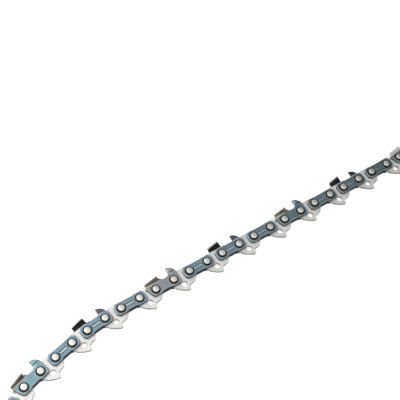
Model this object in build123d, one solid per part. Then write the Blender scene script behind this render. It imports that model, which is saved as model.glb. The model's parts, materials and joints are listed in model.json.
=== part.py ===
from build123d import *
import cmath
import math
import os

# Pitches and layers of a low-profile 3/8 in chain, 1.3 mm gauge
strap_pitch = 9.85
drive_pitch = 8.79
gauge = 1.3
side_play = 0.08
strap_thick = 1.25
head_proud = 0.62
drive_links = 40

# Layout of the loop on the table: bends read off the photo in degrees, the rest counted in rivets
gentle_bends = (1.3, 1.7, 2.6, 3.8, 3.8, 2.5, 0.5)
right_rivets = 9
right_run_rivets = 9
low_rivets = 9
low_run_rivets = 16
left_rivets = 10
seen_links = 13
corner_turn_guess = 120
bend_nudge = 0.0001
closing_rounds = 30

# Which straps are cutters, repeated round the loop: near side, none, far side, none
pattern = ("right", "tie", "left", "tie")

# Tie strap outline about its rear rivet
strap_half = 2.95
strap_over = 3.25
strap_clip = 1.25
waist_low = 2.4
waist_run = 2.2
waist_ease = 1.0

# Drive link outline about its rear rivet
drive_top = 3.65
drive_over = 3.0
drive_clip = 1.4
tang_depth = 7.8
tip_rear = 3.8
tip_front = 4.8
hook_at = 5.5
hook_depth = 5.7
shoulder_at = 9.0
shoulder_depth = 5.1
flank_depth = 2.7
flank_in = 0.8
oil_at = 3.45
oil_depth = 4.1
oil_radius = 1.5

# Cutter: side plate, gauge and top plate about the rear rivet
heel_over = 4.2
heel_height = 3.1
gullet_rear = 3.9
gullet_floor = 2.85
gauge_rear = 9.15
gauge_tip = 7.1
nose_height = 3.6
corner_flare = 3.3
corner_foot = 0.25
corner_round = 0.75
corner_rise = 1.0
free_rise = 3.3
plate_thick = 0.8
plate_across = 4.4
plate_run = 7.6
plate_slope = 8.3
edge_angle = 22
heel_angle = 10

# Rivets and the eyes that turn on them, few-sided to keep the mesh light
rivet_radius = 1.75
rivet_sides = 8
plain_sides = 5
fixed_sides = 4
eye_play = 0.06
oil_sides = 6

half_gauge = gauge / 2
strap_in = half_gauge + side_play
strap_out = strap_in + strap_thick
head_out = strap_out + head_proud


# Bends in degrees at every rivet, starting after the first strap of the seen run
def bend_list(right, left):
    straight = 2 * drive_links - len(gentle_bends) - right_rivets - right_run_rivets
    straight -= low_rivets + low_run_rivets + left_rivets
    low = (360 - sum(gentle_bends) - right_rivets * right - left_rivets * left) / low_rivets
    bends = list(gentle_bends) + [0] * straight + [right] * right_rivets
    return bends + [0] * right_run_rivets + [low] * low_rivets + [0] * low_run_rivets + [left] * left_rivets


# Walks the rivets as complex numbers, strap first, turning clockwise
def walk(bends):
    heading = sum(gentle_bends)
    places, headings = [0], []
    for count, bend in enumerate(bends):
        step = drive_pitch if count % 2 else strap_pitch
        places.append(places[-1] + cmath.rect(step, math.radians(heading)))
        headings.append(heading)
        heading -= bend
    return places, headings


# Finds the two corner bends that bring the last rivet back onto the first
def close_loop():
    right, left = corner_turn_guess / right_rivets, corner_turn_guess / left_rivets
    for _ in range(closing_rounds):
        miss = walk(bend_list(right, left))[0][-1]
        by_right = (walk(bend_list(right + bend_nudge, left))[0][-1] - miss) / bend_nudge
        by_left = (walk(bend_list(right, left + bend_nudge))[0][-1] - miss) / bend_nudge
        area = by_right.real * by_left.imag - by_right.imag * by_left.real
        right -= (miss.real * by_left.imag - miss.imag * by_left.real) / area
        left -= (by_right.real * miss.imag - by_right.imag * miss.real) / area
    return walk(bend_list(right, left))


# A plate cut from a polygon between two heights
def plate(points, low, high):
    return Pos(0, 0, low) * extrude(make_face(Polyline(*points, close=True)), high - low)


# A few-sided upright pin, its corners on the given radius
def pin(at, radius, sides, low, high):
    return Pos(at, 0, low) * extrude(RegularPolygon(radius, sides), high - low)


def drive_link(seen):
    front = drive_pitch + drive_over
    points = [
        (drive_clip - drive_over, drive_top), (front - drive_clip, drive_top),
        (front, drive_top - drive_clip), (front - flank_in, -flank_depth),
        (shoulder_at, -shoulder_depth), (hook_at, -hook_depth),
        (tip_front, -tang_depth), (tip_rear, -tang_depth),
        (drive_clip - drive_over, -flank_depth),
        (-drive_over, drive_clip - flank_depth), (-drive_over, drive_top - drive_clip),
    ]
    link = plate(points, -half_gauge, half_gauge)
    sides = rivet_sides if seen else plain_sides
    eye = (rivet_radius + eye_play) / math.cos(math.pi / sides)
    link -= pin(0, eye, sides, -gauge, gauge)
    if seen:
        link -= pin(drive_pitch, rivet_radius, rivet_sides, -gauge, gauge)
        link -= Pos(oil_at, -oil_depth, -gauge) * extrude(RegularPolygon(oil_radius, oil_sides), 2 * gauge)
    return link


# Lower edge of a strap or cutter, waisted between the rivets where the photo shows it
def strap_foot(seen):
    front = strap_pitch + strap_over
    waist = strap_pitch / 2 - waist_run
    points = [(strap_clip - strap_over, -strap_half)]
    if seen:
        points += [
            (waist - waist_ease, -strap_half), (waist, -waist_low),
            (strap_pitch - waist, -waist_low), (strap_pitch - waist + waist_ease, -strap_half),
        ]
    return points + [(front - strap_clip, -strap_half), (front, strap_clip - strap_half)]


def rivet_holes(blank, seen):
    if seen:
        for at in (0, strap_pitch):
            blank -= pin(at, rivet_radius, rivet_sides, 0, head_out)
    return blank


def tie_strap(seen):
    front = strap_pitch + strap_over
    points = strap_foot(seen) + [
        (front, strap_half - strap_clip), (front - strap_clip, strap_half),
        (strap_clip - strap_over, strap_half), (-strap_over, strap_half - strap_clip),
        (-strap_over, strap_clip - strap_half),
    ]
    return rivet_holes(plate(points, strap_in, strap_out), seen)


# Side plate with depth gauge, and the top plate folded over the chain
def cutter(seen):
    front = strap_pitch + strap_over
    slope = math.tan(math.radians(plate_slope))
    points = strap_foot(seen) + [
        (front, strap_half - strap_clip), (front - side_play, nose_height),
        (front - strap_clip, (nose_height + gauge_tip) / 2 - side_play),
        (gauge_rear + side_play, gauge_tip), (gauge_rear, gullet_floor + strap_clip),
        (gauge_rear - strap_clip, gullet_floor), (gullet_rear + strap_clip, gullet_floor),
        (gullet_rear, heel_height + slope * plate_run),
        (-heel_over, heel_height), (strap_clip - heel_over, strap_clip - strap_half),
    ]
    body = plate(points, strap_in, strap_out)
    base = heel_height - strap_thick
    section = [
        (strap_in, base), (strap_out, base), (corner_flare, heel_height + corner_foot),
        (corner_flare, heel_height + corner_round),
        (corner_flare - plate_thick / 2, heel_height + corner_rise),
        (corner_flare - plate_across, heel_height + free_rise),
        (corner_flare - plate_across, heel_height + free_rise - plate_thick),
        (strap_in, heel_height + corner_rise - plate_thick),
    ]
    start = -heel_over - plate_run
    drop = slope * plate_run
    face = make_face(Polyline(*[(start, height - drop, width) for width, height in section], close=True))
    hood = extrude(face, 3 * plate_run, dir=(1, slope, 0))
    reach = 4 * plate_run
    ahead = Box(reach, reach, reach, align=(Align.MIN, Align.CENTER, Align.CENTER))
    behind = Box(reach, reach, reach, align=(Align.MAX, Align.CENTER, Align.CENTER))
    hood -= Pos(plate_run - heel_over, heel_height, corner_flare) * Rot(0, -edge_angle, 0) * ahead
    hood -= Pos(-heel_over, heel_height, corner_flare) * Rot(0, -heel_angle, 0) * behind
    body += hood
    return rivet_holes(body, seen)


def far_side(solid):
    return mirror(solid, about=Plane.XY)


# The pieces of one unit at its own rear rivet, the cutter kept apart
def unit_pieces(hand, bend, seen):
    turn = Pos(drive_pitch, 0, 0) * Rot(0, 0, -bend)
    straps, blade = [], None
    for side in ("right", "left"):
        solid = cutter(seen) if side == hand else tie_strap(seen)
        solid = turn * (solid if side == "right" else far_side(solid))
        if side == hand:
            blade = solid
        else:
            straps.append(solid)
    link = drive_link(seen)
    if seen:
        rivets = [turn * pin(at, rivet_radius, rivet_sides, -head_out, head_out) for at in (0, strap_pitch)]
        return [link] + straps + rivets, blade
    carrier = link
    for solid in straps:
        carrier += solid
    low = -strap_in if hand == "left" else -strap_out
    high = strap_in if hand == "right" else strap_out
    for at, sides in ((0, fixed_sides), (strap_pitch, plain_sides)):
        carrier += turn * pin(at, rivet_radius, sides, low, high)
    return [carrier], blade


# Units in order: the drive link starts at every second rivet
def layout():
    places, headings = close_loop()
    count = 2 * drive_links
    units = []
    for number in range(drive_links):
        rear = (2 * number - 1) % count
        strap = 2 * number
        bend = (headings[rear] - headings[strap] + 180) % 360 - 180
        units.append((places[rear], headings[rear], bend))
    return units


def main():
    os.makedirs("parts", exist_ok=True)
    nodes = {}
    for number, (place, heading, bend) in enumerate(layout()):
        seen = number < seen_links or number == drive_links - 1
        spot = Pos(place.real, place.imag, 0) * Rot(0, 0, heading)
        hand = pattern[number % len(pattern)]
        solids, blade = unit_pieces(hand, bend, seen)
        nodes[f"link_{number + 1:02d}"] = [spot * solid for solid in solids]
        if blade:
            nodes[f"cutter_{hand}_{number // len(pattern) + 1:02d}"] = [spot * blade]
    whole = Compound([piece for solids in nodes.values() for solid in solids for piece in solid.solids()])
    whole = whole.bounding_box()
    shift = Pos(-whole.center().X, -whole.center().Y, -whole.min.Z)
    for name, solids in nodes.items():
        moved = [shift * piece for solid in solids for piece in solid.solids()]
        export_step(Compound(moved), f"parts/{name}.step")
    return whole


if __name__ == "__main__":
    main()
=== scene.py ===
import cmath
import json
import math
import bmesh
import bpy
from mathutils import Matrix, Vector


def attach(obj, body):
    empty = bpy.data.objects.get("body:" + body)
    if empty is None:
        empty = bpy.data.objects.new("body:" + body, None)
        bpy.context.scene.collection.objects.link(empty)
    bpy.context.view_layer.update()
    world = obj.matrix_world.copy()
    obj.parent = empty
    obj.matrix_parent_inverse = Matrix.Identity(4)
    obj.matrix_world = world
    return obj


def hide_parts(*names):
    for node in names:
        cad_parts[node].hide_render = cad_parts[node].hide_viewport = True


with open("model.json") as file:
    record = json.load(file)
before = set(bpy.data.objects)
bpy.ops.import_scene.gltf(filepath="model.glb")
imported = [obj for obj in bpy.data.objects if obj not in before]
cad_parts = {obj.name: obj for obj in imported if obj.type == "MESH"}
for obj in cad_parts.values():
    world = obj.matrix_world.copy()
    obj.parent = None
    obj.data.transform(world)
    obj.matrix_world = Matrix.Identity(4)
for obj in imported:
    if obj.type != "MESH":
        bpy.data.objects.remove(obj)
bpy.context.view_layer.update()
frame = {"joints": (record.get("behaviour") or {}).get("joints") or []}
joints = {joint["name"]: Vector(joint["pos_m"]) for joint in frame["joints"]}
mm = 0.001
print("frame loaded")

# Finish numbers, in the order of the finishes list further down
bright, blued, satin, chrome, shadowBlack, shade, bronze, grooveHighlight, edgeShade, blade, innerShade, paleHighlight, rimLight = range(13)

# Pitches and layers in millimetres
chain = {"strapPitch": 9.85, "drivePitch": 8.79, "gauge": 1.3, "play": 0.08, "strap": 1.25,
         "proud": 0.62, "links": 40}
strapRivets = (0, chain["strapPitch"])
strapIn = chain["gauge"] / 2 + chain["play"]
strapOut = strapIn + chain["strap"]
headOut = strapOut + chain["proud"]

# The loop's gentle bends in degrees, how many rivets each further stretch has, and how it is closed
loop = {"gentle": (1.3, 1.7, 2.6, 3.8, 3.8, 2.5, 0.5), "right": 9, "rightRun": 9, "low": 9,
        "lowRun": 16, "left": 10, "fullTurn": 360, "cornerGuess": 120, "nudge": 1e-4, "rounds": 30}


# Bends at every rivet, for a given bend per rivet in the right and left corners
def bendList(right, left):
    counted = sum(loop[key] for key in ("right", "rightRun", "low", "lowRun", "left"))
    straight = 2 * chain["links"] - len(loop["gentle"]) - counted
    lowTurn = loop["fullTurn"] - sum(loop["gentle"]) - loop["right"] * right - loop["left"] * left
    bends = list(loop["gentle"]) + [0] * straight + [right] * loop["right"] + [0] * loop["rightRun"]
    bends += [lowTurn / loop["low"]] * loop["low"]
    return bends + [0] * loop["lowRun"] + [left] * loop["left"]


# Walks the rivets as complex numbers, strap first, turning clockwise
def walk(bends):
    heading = sum(loop["gentle"])
    places, headings = [0], []
    for count, bend in enumerate(bends):
        step = chain["drivePitch"] if count % 2 else chain["strapPitch"]
        places.append(places[-1] + cmath.rect(step, math.radians(heading)))
        headings.append(heading)
        heading -= bend
    return places, headings


# Finds the two corner bends that bring the last rivet back onto the first
def closeLoop():
    right = loop["cornerGuess"] / loop["right"]
    left = loop["cornerGuess"] / loop["left"]
    nudge = loop["nudge"]
    for _ in range(loop["rounds"]):
        miss = walk(bendList(right, left))[0][-1]
        byRight = (walk(bendList(right + nudge, left))[0][-1] - miss) / nudge
        byLeft = (walk(bendList(right, left + nudge))[0][-1] - miss) / nudge
        area = byRight.real * byLeft.imag - byRight.imag * byLeft.real
        right -= (miss.real * byLeft.imag - miss.imag * byLeft.real) / area
        left -= (byRight.real * miss.imag - byRight.imag * miss.real) / area
    return walk(bendList(right, left))


# A frame in millimetres at one rivet of the loop
def rivetFrame(place, heading, shift):
    spot = Vector((place.real * mm, place.imag * mm, 0)) + shift
    turn = Matrix.Rotation(math.radians(heading), 4, "Z")
    return Matrix.Translation(spot) @ turn @ Matrix.Scale(mm, 4)


# For each unit, the frames at the drive link's rear rivet and at the strap's rear rivet
def unitFrames():
    places, headings = closeLoop()
    count = 2 * chain["links"]
    first = places[count - 1]
    shift = joints["rivet_01"] - Vector((first.real * mm, first.imag * mm, 0))
    frames = []
    for number in range(chain["links"]):
        rivets = ((2 * number - 1) % count, 2 * number)
        frames.append([rivetFrame(places[index], headings[index], shift) for index in rivets])
    return frames


# Rounds the corners of a polygon given as (x, y, radius), each within its share of the sides
def rounded(points, steps=5, sideShare=0.48):
    ring = []
    for index, (x, y, radius) in enumerate(points):
        here = Vector((x, y))
        if radius == 0:
            ring.append(here)
            continue
        before = Vector(points[index - 1][:2]) - here
        after = Vector(points[(index + 1) % len(points)][:2]) - here
        half = before.angle(after) / 2
        reach = min(radius / math.tan(half), sideShare * before.length, sideShare * after.length)
        start = here + before.normalized() * reach
        end = here + after.normalized() * reach
        for step in range(steps + 1):
            t = step / steps
            ring.append(start * (1 - t) ** 2 + here * 2 * t * (1 - t) + end * t ** 2)
    return ring


def circle(x, y, radius, sides=36):
    turns = [2 * math.pi * i / sides for i in range(sides)]
    return [Vector((x + radius * math.cos(turn), y + radius * math.sin(turn))) for turn in turns]


# How squarely a polygon faces up, down or towards the cutting side to be finished as face, rim or back;
# walls towards the cutting side are painted as lit with the face colour
facing = {"face": 0.97, "litCuttingSide": 0.4, "rim": 0.5, "back": -0.9}


# A flat plate with holes between two heights, its face, softened rim and wall finished apart: walls towards
# the cutting side take the face colour as painted light, the other rims and walls take the colours given,
# which paint shade or highlight on most plates
def plateMesh(name, outline, holes, low, high, bevel, face, rim, wall):
    curve = bpy.data.curves.new(name, "CURVE")
    curve.dimensions = "2D"
    curve.fill_mode = "BOTH"
    for ring in [outline] + holes:
        spline = curve.splines.new("POLY")
        spline.points.add(len(ring) - 1)
        for point, spot in zip(spline.points, ring):
            point.co = (spot.x, spot.y, 0, 1)
        spline.use_cyclic_u = True
    curve.extrude = (high - low) / 2 - bevel
    curve.bevel_depth = bevel
    curve.bevel_resolution = 1
    curve.offset = -bevel
    holder = bpy.data.objects.new(name, curve)
    bpy.context.scene.collection.objects.link(holder)
    mesh = bpy.data.meshes.new_from_object(holder.evaluated_get(bpy.context.evaluated_depsgraph_get()))
    bpy.data.objects.remove(holder)
    mesh.transform(Matrix.Translation((0, 0, (low + high) / 2)))
    for polygon in mesh.polygons:
        tilt = abs(polygon.normal.z)
        # Walls facing the cutting side keep the face colour as painted light
        if tilt > facing["face"] or polygon.normal.y > facing["litCuttingSide"]:
            polygon.material_index = face
        else:
            polygon.material_index = rim if tilt > facing["rim"] else wall
    return mesh


# A turned solid from (radius, height) pairs, capped at its ends
def turnedMesh(name, profile, sides=36):
    mesh = bpy.data.meshes.new(name)
    work = bmesh.new()
    rings = []
    for radius, height in profile:
        rings.append([work.verts.new((*spot, height)) for spot in circle(0, 0, radius, sides)])
    for lower, upper in zip(rings, rings[1:]):
        for i in range(sides):
            after = (i + 1) % sides
            work.faces.new((lower[i], lower[after], upper[after], upper[i]))
    work.faces.new(list(reversed(rings[0])))
    work.faces.new(rings[-1])
    bmesh.ops.recalc_face_normals(work, faces=work.faces)
    work.to_mesh(mesh)
    work.free()
    return mesh


# A section carried from the rear ring to the front ring, one finish for each edge and one for the ends
def sweptMesh(name, rear, front, edgeFinishes, endFinish):
    mesh = bpy.data.meshes.new(name)
    work = bmesh.new()
    back = [work.verts.new(spot) for spot in rear]
    fore = [work.verts.new(spot) for spot in front]
    for i, finish in enumerate(edgeFinishes):
        after = (i + 1) % len(back)
        work.faces.new((back[i], back[after], fore[after], fore[i])).material_index = finish
    for ring in (list(reversed(back)), fore):
        work.faces.new(ring).material_index = endFinish
    bmesh.ops.recalc_face_normals(work, faces=work.faces)
    work.to_mesh(mesh)
    work.free()
    return mesh


# The same mesh on the far side of the chain
def mirrored(mesh):
    copy = mesh.copy()
    copy.transform(Matrix.Diagonal((1, 1, -1, 1)))
    copy.flip_normals()
    return copy


# Drive link: hooked tang with a rounded belly, oil hole and two eyes, about its rear rivet
drive = {"top": 3.65, "over": 3.0, "clip": 1.4, "tang": 7.8, "tipRear": 3.8, "tipFront": 4.8, "hook": 5.5,
         "hookDepth": 5.7, "shoulder": 9.0, "shoulderDepth": 5.1, "flank": 2.7, "flankIn": 0.8,
         "belly": ((1.5, -6.55), (-1.0, -4.45)), "oilX": 3.45, "oilY": -4.1, "oilRadius": 1.34,
         "oilSides": 28, "eye": 1.82, "bevel": 0.12, "topRound": 1.5, "flankRound": 1.2,
         "hookRound": 0.7, "frontRound": 0.15, "rearRound": 0.5, "bellyRound": 6.0}


def driveMesh():
    front = chain["drivePitch"] + drive["over"]
    clip, over, top, flank, tang = (drive[key] for key in ("clip", "over", "top", "flank", "tang"))
    topRound, flankRound = drive["topRound"], drive["flankRound"]
    outline = rounded([
        (clip - over, top, topRound), (front - clip, top, topRound), (front, top - clip, topRound),
        (front - drive["flankIn"], -flank, flankRound),
        (drive["shoulder"], -drive["shoulderDepth"], flankRound),
        (drive["hook"], -drive["hookDepth"], drive["hookRound"]),
        (drive["tipFront"], -tang, drive["frontRound"]), (drive["tipRear"], -tang, drive["rearRound"]),
        *[(x, y, drive["bellyRound"]) for x, y in drive["belly"]],
        (clip - over, -flank, flankRound), (-over, clip - flank, flankRound), (-over, top - clip, topRound)])
    holes = [circle(drive["oilX"], drive["oilY"], drive["oilRadius"], drive["oilSides"])]
    holes += [circle(at, 0, drive["eye"]) for at in (0, chain["drivePitch"])]
    half = chain["gauge"] / 2
    # Rim and walls are dark grey: painted shade round the bright link
    return plateMesh("drivePlate", outline, holes, -half, half, drive["bevel"], bright, edgeShade, edgeShade)


# Tie strap: waisted plate, dished round the rivets and stamped with a groove between them, the groove's
# floor in painted shade and a light bar along it as a painted highlight
strap = {"half": 2.95, "over": 3.25, "clip": 1.25, "waistLow": 2.4, "waistRun": 2.2, "waistEase": 1.0,
         "corner": 0.25, "waistRound": 1.5, "bevel": 0.28, "skin": 0.45, "skinLap": 0.05, "coreLap": 0.12,
         "coreBevel": 0.06, "dish": 2.04, "dishShadowShiftX": -0.08, "dishShadowShiftY": -0.14, "slotHalf": 2.5,
         "slotWide": 0.72, "barWide": 0.46, "barDrop": 0.1, "barBevel": 0.1}
strapFront = chain["strapPitch"] + strap["over"]


# Lower edge of a strap or cutter
def strapFoot():
    half, clip, ease, low = (strap[key] for key in ("half", "clip", "waistEase", "waistLow"))
    corner, waistRound = strap["corner"], strap["waistRound"]
    near = chain["strapPitch"] / 2 - strap["waistRun"]
    far = chain["strapPitch"] - near
    return [
        (clip - strap["over"], -half, corner), (near - ease, -half, waistRound), (near, -low, waistRound),
        (far, -low, waistRound), (far + ease, -half, waistRound),
        (strapFront - clip, -half, corner), (strapFront, clip - half, corner)]


# A core in painted shade under a finished skin that is cut out round the rivets, so the dishes, slots and
# lower edges show painted shade
def layered(name, outline, slots, face):
    split = strapOut - strap["skin"]
    skinLow = split - strap["skinLap"]
    # Each dish sits a little towards the rear and the lower edge, so the painted shade round a rivet is
    # thicker there
    dishes = [circle(at + strap["dishShadowShiftX"], strap["dishShadowShiftY"], strap["dish"]) for at in strapRivets]
    core = plateMesh(name, outline, [], strapIn, split + strap["coreLap"], strap["coreBevel"],
                     shade, shade, shade)
    # The skin's softened rim is a painted highlight and its wall painted shade
    skin = plateMesh(name, outline, dishes + slots, skinLow, strapOut, strap["bevel"], face, rimLight, shade)
    # Softened rims round the dishes are painted shade as well
    for polygon in skin.polygons:
        x = polygon.center.x - strap["dishShadowShiftX"]
        y = polygon.center.y - strap["dishShadowShiftY"]
        nearest = min(math.hypot(x - at, y) for at in strapRivets)
        if nearest < strap["dish"] + strap["bevel"] and polygon.material_index != face:
            polygon.material_index = shade
    return [core, skin]


# A round-ended slot between the rivets
def slotRing(reach, wide):
    middle = chain["strapPitch"] / 2
    corners = ((-reach, -wide), (reach, -wide), (reach, wide), (-reach, wide))
    return rounded([(middle + x, y, wide) for x, y in corners])


def strapMeshes():
    half, clip, over, corner = (strap[key] for key in ("half", "clip", "over", "corner"))
    outline = rounded(strapFoot() + [
        (strapFront, half - clip, corner), (strapFront - clip, half, corner), (clip - over, half, corner),
        (-over, half - clip, corner), (-over, clip - half, corner)])
    slot = slotRing(strap["slotHalf"], strap["slotWide"])
    inset = strap["slotWide"] - strap["barWide"]
    barRing = slotRing(strap["slotHalf"] - inset, strap["barWide"])
    # Light bar inside the slot: a painted highlight along the groove
    bar = plateMesh("slotBar", barRing, [], strapOut - strap["skin"], strapOut - strap["barDrop"],
                    strap["barBevel"], grooveHighlight, grooveHighlight, grooveHighlight)
    return layered("strapPlate", outline, [slot], blued) + [bar]


# Cutter: side plate with depth gauge, and the chromed top plate folded over the chain
cutter = {"heel": 4.2, "heelHeight": 3.1, "gulletRear": 3.9, "gulletFloor": 2.85, "gaugeRear": 9.15,
          "gaugeTip": 7.14, "noseHeight": 4.2, "browX": 11.6, "browHeight": 6.2, "flare": 3.3,
          "rise": 1.0, "lipLow": 0.25, "lipHigh": 0.75, "freeRise": 3.3, "plate": 0.8, "across": 4.4,
          "run": 7.6, "slope": 8.3, "edgeAngle": 22, "heelAngle": 10, "heelDrop": 0.22,
          "stripRear": 0.72, "stripFront": 0.08, "foldShares": (0.42, 0.54), "hoodSteps": 4,
          "shoulderRound": 0.5, "noseRound": 1.5, "browRound": 2.5, "tipRound": 0.3, "gulletRound": 1.4,
          "pointRound": 0.2, "heelRound": 0.3, "footRound": 1.2, "rootRound": 0.4, "lipRound": 0.6,
          "flareRound": 0.5, "crownRound": 0.8, "freeRound": 0.1}
slope = math.tan(math.radians(cutter["slope"]))

# Crease of the depth gauge, the bronzed corner behind the gullet and the painted shade as a dark band at the
# gauge's root
crease = {"x": 10.4, "y": 3.2, "drop": 0.12, "reach": 3, "ease": 0.01,
          "cornerX": 2.0, "rootLow": 4.0, "rootHigh": 4.6}


def cutterMeshes():
    half, clip = strap["half"], strap["clip"]
    heel, heelHeight, floorHeight = (cutter[key] for key in ("heel", "heelHeight", "gulletFloor"))
    gaugeRear, gulletRear, gulletRound = (cutter[key] for key in ("gaugeRear", "gulletRear", "gulletRound"))
    outline = rounded(strapFoot() + [
        (strapFront, half - clip, cutter["shoulderRound"]),
        (strapFront - chain["play"], cutter["noseHeight"], cutter["noseRound"]),
        (cutter["browX"], cutter["browHeight"], cutter["browRound"]),
        (gaugeRear + chain["play"], cutter["gaugeTip"], cutter["tipRound"]),
        (gaugeRear, floorHeight + clip, gulletRound), (gaugeRear - clip, floorHeight, gulletRound),
        (gulletRear + clip, floorHeight, gulletRound),
        (gulletRear, heelHeight + slope * cutter["run"], cutter["pointRound"]),
        (-heel, heelHeight, cutter["heelRound"]), (clip - heel, clip - half, cutter["footRound"])])
    core, skin = layered("cutterPlate", outline, [], blade)
    # Faces towards the drive links get a darker painted shade
    for face in core.polygons:
        if face.normal.z < facing["back"]:
            face.material_index = innerShade
    creased(skin)
    return [core, skin, hoodMesh()]


# Corners of the top plate's section as (across, up, radius, finish of the edge that follows)
def hoodCorners(stripShare):
    height, flare, rise, plate = (cutter[key] for key in ("heelHeight", "flare", "rise", "plate"))
    base = height - chain["strap"]
    under = height + rise - plate
    free = flare - cutter["across"]
    top = height + cutter["freeRise"]
    lip = Vector((flare, height + rise * cutter["lipLow"]))
    strip = Vector((strapOut, base)).lerp(lip, stripShare)
    inside = Vector((free, top - plate))
    fold = [inside.lerp(Vector((strapIn, under)), share) for share in cutter["foldShares"]]
    return [
        # The slanted face below the bronze lip is near white: a painted highlight standing for a bright
        # reflection
        (strapIn, base, 0, blade), (strapOut, base, cutter["rootRound"], paleHighlight),
        (*strip, 0, bronze), (*lip, cutter["lipRound"], bronze),
        (flare, height + rise * cutter["lipHigh"], cutter["flareRound"], bronze),
        (flare - plate / 2, height + rise, cutter["crownRound"], chrome),
        # Inside the free edge, the underside and the inner wall are near black as painted shade, with a less
        # dark stripe along the fold as a painted reflection
        (free, top, cutter["freeRound"], chrome), (*inside, cutter["freeRound"], shadowBlack),
        (*fold[0], 0, innerShade), (*fold[1], 0, shadowBlack), (strapIn, under, cutter["rootRound"], shadowBlack)]


# One end of the top plate, slanted back from the flare to the free edge
def hoodRing(stripShare, run, angle, drop):
    ring = []
    for wide, high in rounded([corner[:3] for corner in hoodCorners(stripShare)], cutter["hoodSteps"]):
        inwards = cutter["flare"] - wide
        along = run - inwards * math.tan(math.radians(angle))
        ring.append((along - cutter["heel"], high + (slope * along - drop * inwards), wide))
    return ring


# The section carried from the angled heel to the angled cutting edge
def hoodMesh():
    rear = hoodRing(cutter["stripRear"], 0, cutter["heelAngle"], cutter["heelDrop"] / cutter["across"])
    fore = hoodRing(cutter["stripFront"], cutter["run"], cutter["edgeAngle"], 0)
    edgeFinishes = []
    corners = hoodCorners(0)
    for index, corner in enumerate(corners):
        edges = cutter["hoodSteps"] + 1 if corner[2] else 1
        edgeFinishes += [corners[index - 1][3]] * (edges // 2) + [corner[3]] * (edges - edges // 2)
    return sweptMesh("cutterHood", rear, fore, edgeFinishes, bright)


# Bends the rear of the depth gauge inwards, tints the corner behind the gullet bronze and paints shade as a
# dark band at the gauge's root
def creased(mesh):
    work = bmesh.new()
    work.from_mesh(mesh)
    cuts = [((crease[key], 0, 0), (1, 0, 0)) for key in ("x", "cornerX")]
    cuts += [((0, crease[key], 0), (0, 1, 0)) for key in ("y", "rootLow", "rootHigh")]
    for spot, across in cuts:
        whole = work.verts[:] + work.edges[:] + work.faces[:]
        bmesh.ops.bisect_plane(work, geom=whole, plane_co=spot, plane_no=across)
    gaugeFoot = cutter["gaugeRear"] - strap["clip"]
    for face in work.faces:
        middle = face.calc_center_median()
        if crease["cornerX"] < middle.x < gaugeFoot and middle.y > crease["y"]:
            face.material_index = bronze
        # The band at the gauge's root is painted shade
        elif middle.x > gaugeFoot and crease["rootLow"] < middle.y < crease["rootHigh"]:
            face.material_index = innerShade
    for vert in work.verts:
        behind = crease["x"] - vert.co.x
        if 0 < behind < crease["reach"] and vert.co.y > crease["y"] + crease["ease"]:
            vert.co.z -= crease["drop"] * behind
    work.to_mesh(mesh)
    work.free()


# Rivet with a spun head on both sides
rivet = {"radius": 1.64, "crown": 1.15, "soft": 0.2, "lip": 0.05}


def rivetMesh():
    radius, soft, lip = (rivet[key] for key in ("radius", "soft", "lip"))
    half = [(rivet["crown"], headOut), (radius - soft, headOut - lip), (radius - lip, headOut - soft),
            (radius, headOut - 2 * soft)]
    mesh = turnedMesh("rivetBody", [(r, -z) for r, z in half] + list(reversed(half)))
    for face in mesh.polygons:
        # The head's side wall is painted shade, its top and softened rim the rivet's own satin colour
        face.material_index = satin if abs(face.normal.z) > facing["rim"] else shade
    return mesh


# Grain of all the steel, and how the second hue drifts over heat-tinted pieces
grain = {"scale": 1400, "detail": 3, "strength": 0.12, "depth": 0.00008, "mottleDetail": 5,
         "mottleStops": (0.35, 0.68), "driftScale": 110, "driftDetail": 2,
         "driftRange": (0.45, 0.62), "driftMix": (0, 0.8)}


def noiseNode(nodes, links, where, scale, detail):
    noise = nodes.new("ShaderNodeTexNoise")
    noise.inputs["Scale"].default_value = scale
    noise.inputs["Detail"].default_value = detail
    links.new(where.outputs["Object"], noise.inputs["Vector"])
    return noise.outputs["Fac"]


def spreadNode(nodes, links, value, fromRange, toRange):
    spread = nodes.new("ShaderNodeMapRange")
    spread.inputs["From Min"].default_value, spread.inputs["From Max"].default_value = fromRange
    spread.inputs["To Min"].default_value, spread.inputs["To Max"].default_value = toRange
    links.new(value, spread.inputs["Value"])
    return spread.outputs["Result"]


# Procedural steel: mottled colour, uneven gloss, a fine grain and, where given, a drifting second hue
def steel(name, darkTone, lightTone, rough, metal, scale, tint=None):
    material = bpy.data.materials.new(name)
    material.use_nodes = True
    nodes, links = material.node_tree.nodes, material.node_tree.links
    shader = nodes["Principled BSDF"]
    shader.inputs["Metallic"].default_value = metal
    where = nodes.new("ShaderNodeTexCoord")
    mottle = noiseNode(nodes, links, where, scale, grain["mottleDetail"])
    ramp = nodes.new("ShaderNodeValToRGB")
    for stop, tone, place in zip(ramp.color_ramp.elements, (darkTone, lightTone), grain["mottleStops"]):
        stop.color = (*tone, 1)
        stop.position = place
    links.new(mottle, ramp.inputs["Fac"])
    colour = ramp.outputs["Color"]
    if tint:
        blend = nodes.new("ShaderNodeMixRGB")
        blend.inputs["Color2"].default_value = (*tint, 1)
        drift = noiseNode(nodes, links, where, grain["driftScale"], grain["driftDetail"])
        share = spreadNode(nodes, links, drift, grain["driftRange"], grain["driftMix"])
        links.new(share, blend.inputs["Fac"])
        links.new(colour, blend.inputs["Color1"])
        colour = blend.outputs["Color"]
    links.new(colour, shader.inputs["Base Color"])
    links.new(spreadNode(nodes, links, mottle, (0, 1), rough), shader.inputs["Roughness"])
    bump = nodes.new("ShaderNodeBump")
    bump.inputs["Strength"].default_value = grain["strength"]
    bump.inputs["Distance"].default_value = grain["depth"]
    links.new(noiseNode(nodes, links, where, grain["scale"], grain["detail"]), bump.inputs["Height"])
    links.new(bump.outputs["Normal"], shader.inputs["Normal"])
    return material
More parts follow.
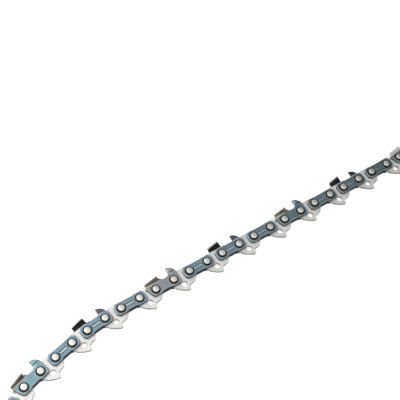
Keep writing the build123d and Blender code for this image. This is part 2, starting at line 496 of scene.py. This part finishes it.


# Dark and light tone, roughness range, metal, mottle scale and any second hue
# The near-black, shade, dark grey edge and dark inner finishes are painted shade; the light groove, pale and
# rim finishes are painted highlights
finishes = [
    steel("brightSteel", (0.84, 0.83, 0.81), (0.97, 0.96, 0.94), (0.38, 0.52), 0.6, 420),
    steel("bluedSteel", (0.20, 0.32, 0.40), (0.29, 0.42, 0.51), (0.22, 0.34), 1.0, 190, (0.28, 0.33, 0.40)),
    steel("rivetSteel", (0.82, 0.78, 0.71), (0.95, 0.92, 0.87), (0.34, 0.46), 0.8, 320),
    steel("chromeSteel", (0.82, 0.82, 0.82), (0.95, 0.95, 0.95), (0.10, 0.22), 1.0, 240),
    steel("shadowBlackSteel", (0.010, 0.010, 0.012), (0.022, 0.022, 0.024), (0.4, 0.6), 0.2, 240),
    steel("shadeSteel", (0.018, 0.022, 0.026), (0.040, 0.048, 0.056), (0.35, 0.5), 0.6, 260),
    steel("bronzeSteel", (0.20, 0.16, 0.13), (0.38, 0.33, 0.27), (0.3, 0.45), 0.5, 260),
    steel("grooveHighlightSteel", (0.50, 0.66, 0.74), (0.66, 0.80, 0.86), (0.22, 0.34), 1.0, 190),
    steel("edgeShadeSteel", (0.20, 0.20, 0.19), (0.34, 0.34, 0.325), (0.35, 0.5), 0.7, 300),
    steel("bladeSteel", (0.20, 0.33, 0.37), (0.31, 0.43, 0.45), (0.24, 0.36), 1.0, 160, (0.23, 0.38, 0.43)),
    steel("innerShadeSteel", (0.08, 0.095, 0.11), (0.15, 0.17, 0.19), (0.3, 0.45), 1.0, 200),
    steel("paleHighlightSteel", (0.86, 0.85, 0.83), (0.96, 0.95, 0.93), (0.3, 0.45), 0.2, 200),
    steel("rimLightSteel", (0.42, 0.50, 0.55), (0.56, 0.63, 0.67), (0.3, 0.45), 0.5, 200)]
purpleBlade = steel("purpleSteel", (0.33, 0.37, 0.39), (0.42, 0.44, 0.46), (0.24, 0.36), 1.0, 160,
                    (0.37, 0.39, 0.41))
print("finishes made")

sharpAngle = 32  # degrees between faces that keep a sharp edge


# Joins placed copies of meshes into one object
def joined(name, parts):
    work = bmesh.new()
    for mesh, place in parts:
        start = len(work.verts)
        work.from_mesh(mesh)
        work.verts.ensure_lookup_table()
        bmesh.ops.transform(work, matrix=place, verts=work.verts[start:])
    data = bpy.data.meshes.new(name)
    work.to_mesh(data)
    work.free()
    for finish in finishes:
        data.materials.append(finish)
    data.polygons.foreach_set("use_smooth", [True] * len(data.polygons))
    data.set_sharp_from_angle(angle=math.radians(sharpAngle))
    thing = bpy.data.objects.new(name, data)
    bpy.context.scene.collection.objects.link(thing)
    return thing


driveLink = driveMesh()
nearStrap = strapMeshes()
nearBlade = cutterMeshes()
farStrap = [mirrored(mesh) for mesh in nearStrap]
farBlade = [mirrored(mesh) for mesh in nearBlade]
pin = rivetMesh()
print("templates made")

# Which straps are cutters, round the loop, and how often a cutter is purple or has its lip in the pale
# painted highlight instead of bronze
hands = ("right", "tie", "left", "tie")
tints = {"purpleEvery": 2, "paleHighlightEvery": 4}
for number, (atDrive, atStrap) in enumerate(unitFrames()):
    hand = hands[number % len(hands)]
    label = f"{number + 1:02d}"
    body = f"unit_{label}"
    parts = [(driveLink, atDrive)]
    if hand != "right":
        parts += [(mesh, atStrap) for mesh in nearStrap]
    if hand != "left":
        parts += [(mesh, atStrap) for mesh in farStrap]
    for at in strapRivets:
        parts.append((pin, atStrap @ Matrix.Translation((at, 0, 0))))
    look = joined(f"linkLook{label}", parts)
    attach(look, body)
    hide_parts(f"link_{label}")
    if hand != "tie":
        lap = number // len(hands)
        bladeMeshes = nearBlade if hand == "right" else farBlade
        look = joined(f"cutterLook{label}", [(mesh, atStrap) for mesh in bladeMeshes])
        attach(look, body)
        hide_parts(f"cutter_{hand}_{lap + 1:02d}")
        if lap % tints["purpleEvery"] == tints["purpleEvery"] - 1:
            look.data.materials[blade] = purpleBlade
        if lap % tints["paleHighlightEvery"] == tints["paleHighlightEvery"] - 1:
            look.data.materials[bronze] = finishes[paleHighlight]
print("links dressed")

# Camera on the tang side of the strand, towards its lower left end: metres, degrees and millimetres of lens
shot = {"away": 0.4462, "side": 22.29, "tilt": -24.0, "roll": -36.06, "lens": 81, "sensor": 36,
        "aimX": 0.07224, "aimY": 0.03134, "nearest": 0.01}
aim = joints["rivet_04"] + Vector((shot["aimX"], shot["aimY"], 0))
sideways, tilted, roll = (math.radians(shot[key]) for key in ("side", "tilt", "roll"))
back = Vector((-math.tan(sideways), math.tan(tilted), 1)).normalized()
across = Vector((0, 1, 0)).cross(back).normalized()
upward = back.cross(across)
right = math.cos(roll) * across + math.sin(roll) * upward
upright = math.cos(roll) * upward - math.sin(roll) * across
camera = bpy.data.objects.new("camera", bpy.data.cameras.new("camera"))
camera.data.lens = shot["lens"]
camera.data.sensor_width = shot["sensor"]
camera.data.clip_start = shot["nearest"]
turned = Matrix((right, upright, back)).transposed().to_4x4()
camera.matrix_world = Matrix.Translation(aim + back * shot["away"]) @ turned
bpy.context.scene.collection.objects.link(camera)
bpy.context.scene.camera = camera
print("camera placed")

# White table that keeps a faint shadow
table = {"half": 15, "tone": 0.8, "lift": 0.7}
half = table["half"]
floorMesh = bpy.data.meshes.new("floor")
corners = [(-half, -half, 0), (half, -half, 0), (half, half, 0), (-half, half, 0)]
floorMesh.from_pydata(corners, [], [(0, 1, 2, 3)])
floor = bpy.data.objects.new("floor", floorMesh)
bpy.context.scene.collection.objects.link(floor)
paper = bpy.data.materials.new("paper")
paper.use_nodes = True
nodes, links = paper.node_tree.nodes, paper.node_tree.links
nodes.clear()
path = nodes.new("ShaderNodeLightPath")
out = nodes.new("ShaderNodeOutputMaterial")
add = nodes.new("ShaderNodeAddShader")
matte = nodes.new("ShaderNodeBsdfDiffuse")
glow = nodes.new("ShaderNodeEmission")
matte.inputs["Color"].default_value = (*[table["tone"]] * 3, 1)
lift = nodes.new("ShaderNodeMath")
lift.operation = "MULTIPLY"
lift.inputs[1].default_value = table["lift"]
seen = path.outputs["Is Camera Ray"]
for extra in ("Is Glossy Ray", "Is Transmission Ray"):
    either = nodes.new("ShaderNodeMath")
    either.operation = "MAXIMUM"
    links.new(seen, either.inputs[0])
    links.new(path.outputs[extra], either.inputs[1])
    seen = either.outputs[0]
links.new(seen, lift.inputs[0])
links.new(lift.outputs[0], glow.inputs["Strength"])
links.new(matte.outputs[0], add.inputs[0])
links.new(glow.outputs[0], add.inputs[1])
links.new(add.outputs[0], out.inputs["Surface"])
floorMesh.materials.append(paper)
print("floor laid")

# Soft sky: bright overhead, darker towards the right end of the strand
skyFade = {"towards": (-0.55, -0.05, 0.83), "low": (0.36, 0.02), "middle": (0.44, 0.40), "high": (0.66, 1.0),
           "strength": 1.0}
world = bpy.data.worlds.new("sky")
bpy.context.scene.world = world
world.use_nodes = True
nodes, links = world.node_tree.nodes, world.node_tree.links
nodes.clear()
where = nodes.new("ShaderNodeTexCoord")
dot = nodes.new("ShaderNodeVectorMath")
ramp = nodes.new("ShaderNodeValToRGB")
dot.operation = "DOT_PRODUCT"
dot.inputs[1].default_value = skyFade["towards"]
ramp.color_ramp.elements.new(skyFade["middle"][0])
for stop, key in zip(ramp.color_ramp.elements, ("low", "middle", "high")):
    place, tone = skyFade[key]
    stop.position = place
    stop.color = (*[tone] * 3, 1)
sky = nodes.new("ShaderNodeBackground")
out = nodes.new("ShaderNodeOutputWorld")
links.new(where.outputs["Generated"], dot.inputs[0])
links.new(dot.outputs["Value"], ramp.inputs["Fac"])
links.new(ramp.outputs["Color"], sky.inputs["Color"])
sky.inputs["Strength"].default_value = skyFade["strength"]
links.new(sky.outputs[0], out.inputs["Surface"])

# One broad lamp that looks at the middle of the loop
lamp = {"power": 2.2, "size": 0.5, "place": (-0.35, 0.5, 0.6)}
softLight = bpy.data.objects.new("key", bpy.data.lights.new("key", "AREA"))
softLight.data.energy = lamp["power"]
softLight.data.size = lamp["size"]
softLight.location = Vector(lamp["place"])
softLight.rotation_euler = (-softLight.location).to_track_quat("-Z", "Y").to_euler()
bpy.context.scene.collection.objects.link(softLight)
bpy.context.scene.view_settings.view_transform = "Standard"
print("stage set")
